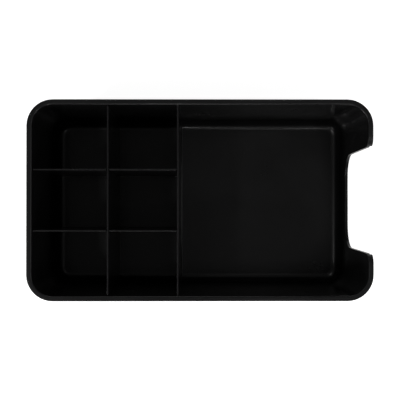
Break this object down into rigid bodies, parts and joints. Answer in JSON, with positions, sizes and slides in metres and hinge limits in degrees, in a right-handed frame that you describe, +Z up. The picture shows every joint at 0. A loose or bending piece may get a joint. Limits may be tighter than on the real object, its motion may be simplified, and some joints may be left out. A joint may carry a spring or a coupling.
{
  "type": "bar caddy",
  "caption": "Deep open-topped bar caddy with a notched napkin bay, condiment cells made by a lift-out slotted grid, and non-slip pads.",
  "frame": {"origin": "on the table, under the middle of the rim's outline", "axes": "+X along the length towards the notched end, +Y across the width towards the back wall, +Z up"},
  "size_m": [0.2413, 0.1404, 0.108],
  "materials": {
    "tub": "black moulded plastic, satin to gloss, faintly mottled",
    "dividers": "black moulded plastic, satin to gloss",
    "pads": "matt dark rubber"
  },
  "bodies": {
    "caddy_body": {"tub": "tub", "foot_front_left": "pads", "foot_front_right": "pads", "foot_back_left": "pads", "foot_back_right": "pads"},
    "long_slats": {"long_divider_back": "dividers", "long_divider_front": "dividers"},
    "cross_slat": {"cross_divider": "dividers"}
  },
  "joints": [
    {"name": "grid_lift", "type": "slide", "parent": "caddy_body", "child": "long_slats", "axis": [0, 0, 1], "range_m": [0, 0.108]},
    {"name": "cross_slat_lift", "type": "slide", "parent": "long_slats", "child": "cross_slat", "axis": [0, 0, 1], "range_m": [0, 0.105]}
  ]
}
